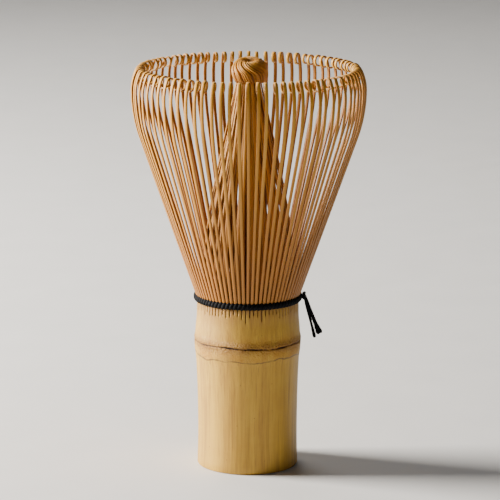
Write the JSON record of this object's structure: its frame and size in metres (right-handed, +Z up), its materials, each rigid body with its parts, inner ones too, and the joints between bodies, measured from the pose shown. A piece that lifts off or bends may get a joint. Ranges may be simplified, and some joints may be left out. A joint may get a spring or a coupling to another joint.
{
  "type": "bamboo tea whisk",
  "caption": "Bamboo tea whisk: a culm grip whose upper end is split into a flaring ring of curled tines around a knotted inner bundle, parted by a black thread.",
  "frame": {"origin": "middle of the grip's bottom rim, on the surface that the whisk stands on", "axes": "+Z up the whisk's axis, towards the curled tips; +X towards the thread's knot"},
  "size_m": [0.0604, 0.0604, 0.1072],
  "materials": {
    "culm": "pale straw bamboo skin, matte and waxy, with fine upright fibre streaks and a dark scar line at the node",
    "outer_tines": "honey coloured bamboo, satin skin on the outside, shaved and matte inside",
    "inner_tines": "shaved bamboo, matte",
    "knob": "twisted bamboo tips, fibrous, matte",
    "thread": "black twined thread, matte"
  },
  "bodies": {
    "whisk": {"handle": "culm", "inner_tines_01": "inner_tines", "inner_tines_02": "inner_tines", "inner_tines_03": "inner_tines", "inner_tines_04": "inner_tines", "inner_tines_05": "inner_tines", "inner_tines_06": "inner_tines", "inner_tines_07": "inner_tines", "inner_tines_08": "inner_tines", "inner_tines_09": "inner_tines", "inner_tines_10": "inner_tines", "inner_tines_11": "inner_tines", "inner_tines_12": "inner_tines", "inner_tines_13": "inner_tines", "inner_tines_14": "inner_tines", "inner_tines_15": "inner_tines", "inner_tines_16": "inner_tines", "tip_knob": "knob", "binding_strand_lower": "thread", "binding_strand_upper": "thread", "parting_strand": "thread", "thread_knot": "thread", "thread_tail_fine": "thread", "thread_tail_frayed": "thread"},
    "outer_sector_01": {"outer_tines_01": "outer_tines"},
    "outer_sector_02": {"outer_tines_02": "outer_tines"},
    "outer_sector_03": {"outer_tines_03": "outer_tines"},
    "outer_sector_04": {"outer_tines_04": "outer_tines"},
    "outer_sector_05": {"outer_tines_05": "outer_tines"},
    "outer_sector_06": {"outer_tines_06": "outer_tines"},
    "outer_sector_07": {"outer_tines_07": "outer_tines"},
    "outer_sector_08": {"outer_tines_08": "outer_tines"},
    "outer_sector_09": {"outer_tines_09": "outer_tines"},
    "outer_sector_10": {"outer_tines_10": "outer_tines"},
    "outer_sector_11": {"outer_tines_11": "outer_tines"},
    "outer_sector_12": {"outer_tines_12": "outer_tines"},
    "outer_sector_13": {"outer_tines_13": "outer_tines"},
    "outer_sector_14": {"outer_tines_14": "outer_tines"},
    "outer_sector_15": {"outer_tines_15": "outer_tines"},
    "outer_sector_16": {"outer_tines_16": "outer_tines"}
  },
  "joints": [
    {"name": "sector_01_flex", "type": "hinge", "parent": "whisk", "child": "outer_sector_01", "pos_m": [0.013, 0, 0.0448], "axis": [0, 1, 0], "range_deg": [-2.5, 5], "stiffness_Nm_per_rad": 0.012},
    {"name": "sector_02_flex", "type": "hinge", "parent": "whisk", "child": "outer_sector_02", "pos_m": [0.01201, 0.00498, 0.0448], "axis": [-0.3827, 0.9239, 0], "range_deg": [-2.5, 5], "stiffness_Nm_per_rad": 0.012},
    {"name": "sector_03_flex", "type": "hinge", "parent": "whisk", "child": "outer_sector_03", "pos_m": [0.00919, 0.00919, 0.0448], "axis": [-0.7071, 0.7071, 0], "range_deg": [-2.5, 5], "stiffness_Nm_per_rad": 0.012},
    {"name": "sector_04_flex", "type": "hinge", "parent": "whisk", "child": "outer_sector_04", "pos_m": [0.00498, 0.01201, 0.0448], "axis": [-0.9239, 0.3827, 0], "range_deg": [-2.5, 5], "stiffness_Nm_per_rad": 0.012},
    {"name": "sector_05_flex", "type": "hinge", "parent": "whisk", "child": "outer_sector_05", "pos_m": [0, 0.013, 0.0448], "axis": [-1, 0, 0], "range_deg": [-2.5, 5], "stiffness_Nm_per_rad": 0.012},
    {"name": "sector_06_flex", "type": "hinge", "parent": "whisk", "child": "outer_sector_06", "pos_m": [-0.00498, 0.01201, 0.0448], "axis": [-0.9239, -0.3827, 0], "range_deg": [-2.5, 5], "stiffness_Nm_per_rad": 0.012},
    {"name": "sector_07_flex", "type": "hinge", "parent": "whisk", "child": "outer_sector_07", "pos_m": [-0.00919, 0.00919, 0.0448], "axis": [-0.7071, -0.7071, 0], "range_deg": [-2.5, 5], "stiffness_Nm_per_rad": 0.012},
    {"name": "sector_08_flex", "type": "hinge", "parent": "whisk", "child": "outer_sector_08", "pos_m": [-0.01201, 0.00498, 0.0448], "axis": [-0.3827, -0.9239, 0], "range_deg": [-2.5, 5], "stiffness_Nm_per_rad": 0.012},
    {"name": "sector_09_flex", "type": "hinge", "parent": "whisk", "child": "outer_sector_09", "pos_m": [-0.013, 0, 0.0448], "axis": [0, -1, 0], "range_deg": [-2.5, 5], "stiffness_Nm_per_rad": 0.012},
    {"name": "sector_10_flex", "type": "hinge", "parent": "whisk", "child": "outer_sector_10", "pos_m": [-0.01201, -0.00498, 0.0448], "axis": [0.3827, -0.9239, 0], "range_deg": [-2.5, 5], "stiffness_Nm_per_rad": 0.012},
    {"name": "sector_11_flex", "type": "hinge", "parent": "whisk", "child": "outer_sector_11", "pos_m": [-0.00919, -0.00919, 0.0448], "axis": [0.7071, -0.7071, 0], "range_deg": [-2.5, 5], "stiffness_Nm_per_rad": 0.012},
    {"name": "sector_12_flex", "type": "hinge", "parent": "whisk", "child": "outer_sector_12", "pos_m": [-0.00498, -0.01201, 0.0448], "axis": [0.9239, -0.3827, 0], "range_deg": [-2.5, 5], "stiffness_Nm_per_rad": 0.012},
    {"name": "sector_13_flex", "type": "hinge", "parent": "whisk", "child": "outer_sector_13", "pos_m": [0, -0.013, 0.0448], "axis": [1, 0, 0], "range_deg": [-2.5, 5], "stiffness_Nm_per_rad": 0.012},
    {"name": "sector_14_flex", "type": "hinge", "parent": "whisk", "child": "outer_sector_14", "pos_m": [0.00498, -0.01201, 0.0448], "axis": [0.9239, 0.3827, 0], "range_deg": [-2.5, 5], "stiffness_Nm_per_rad": 0.012},
    {"name": "sector_15_flex", "type": "hinge", "parent": "whisk", "child": "outer_sector_15", "pos_m": [0.00919, -0.00919, 0.0448], "axis": [0.7071, 0.7071, 0], "range_deg": [-2.5, 5], "stiffness_Nm_per_rad": 0.012},
    {"name": "sector_16_flex", "type": "hinge", "parent": "whisk", "child": "outer_sector_16", "pos_m": [0.01201, -0.00498, 0.0448], "axis": [0.3827, 0.9239, 0], "range_deg": [-2.5, 5], "stiffness_Nm_per_rad": 0.012}
  ]
}
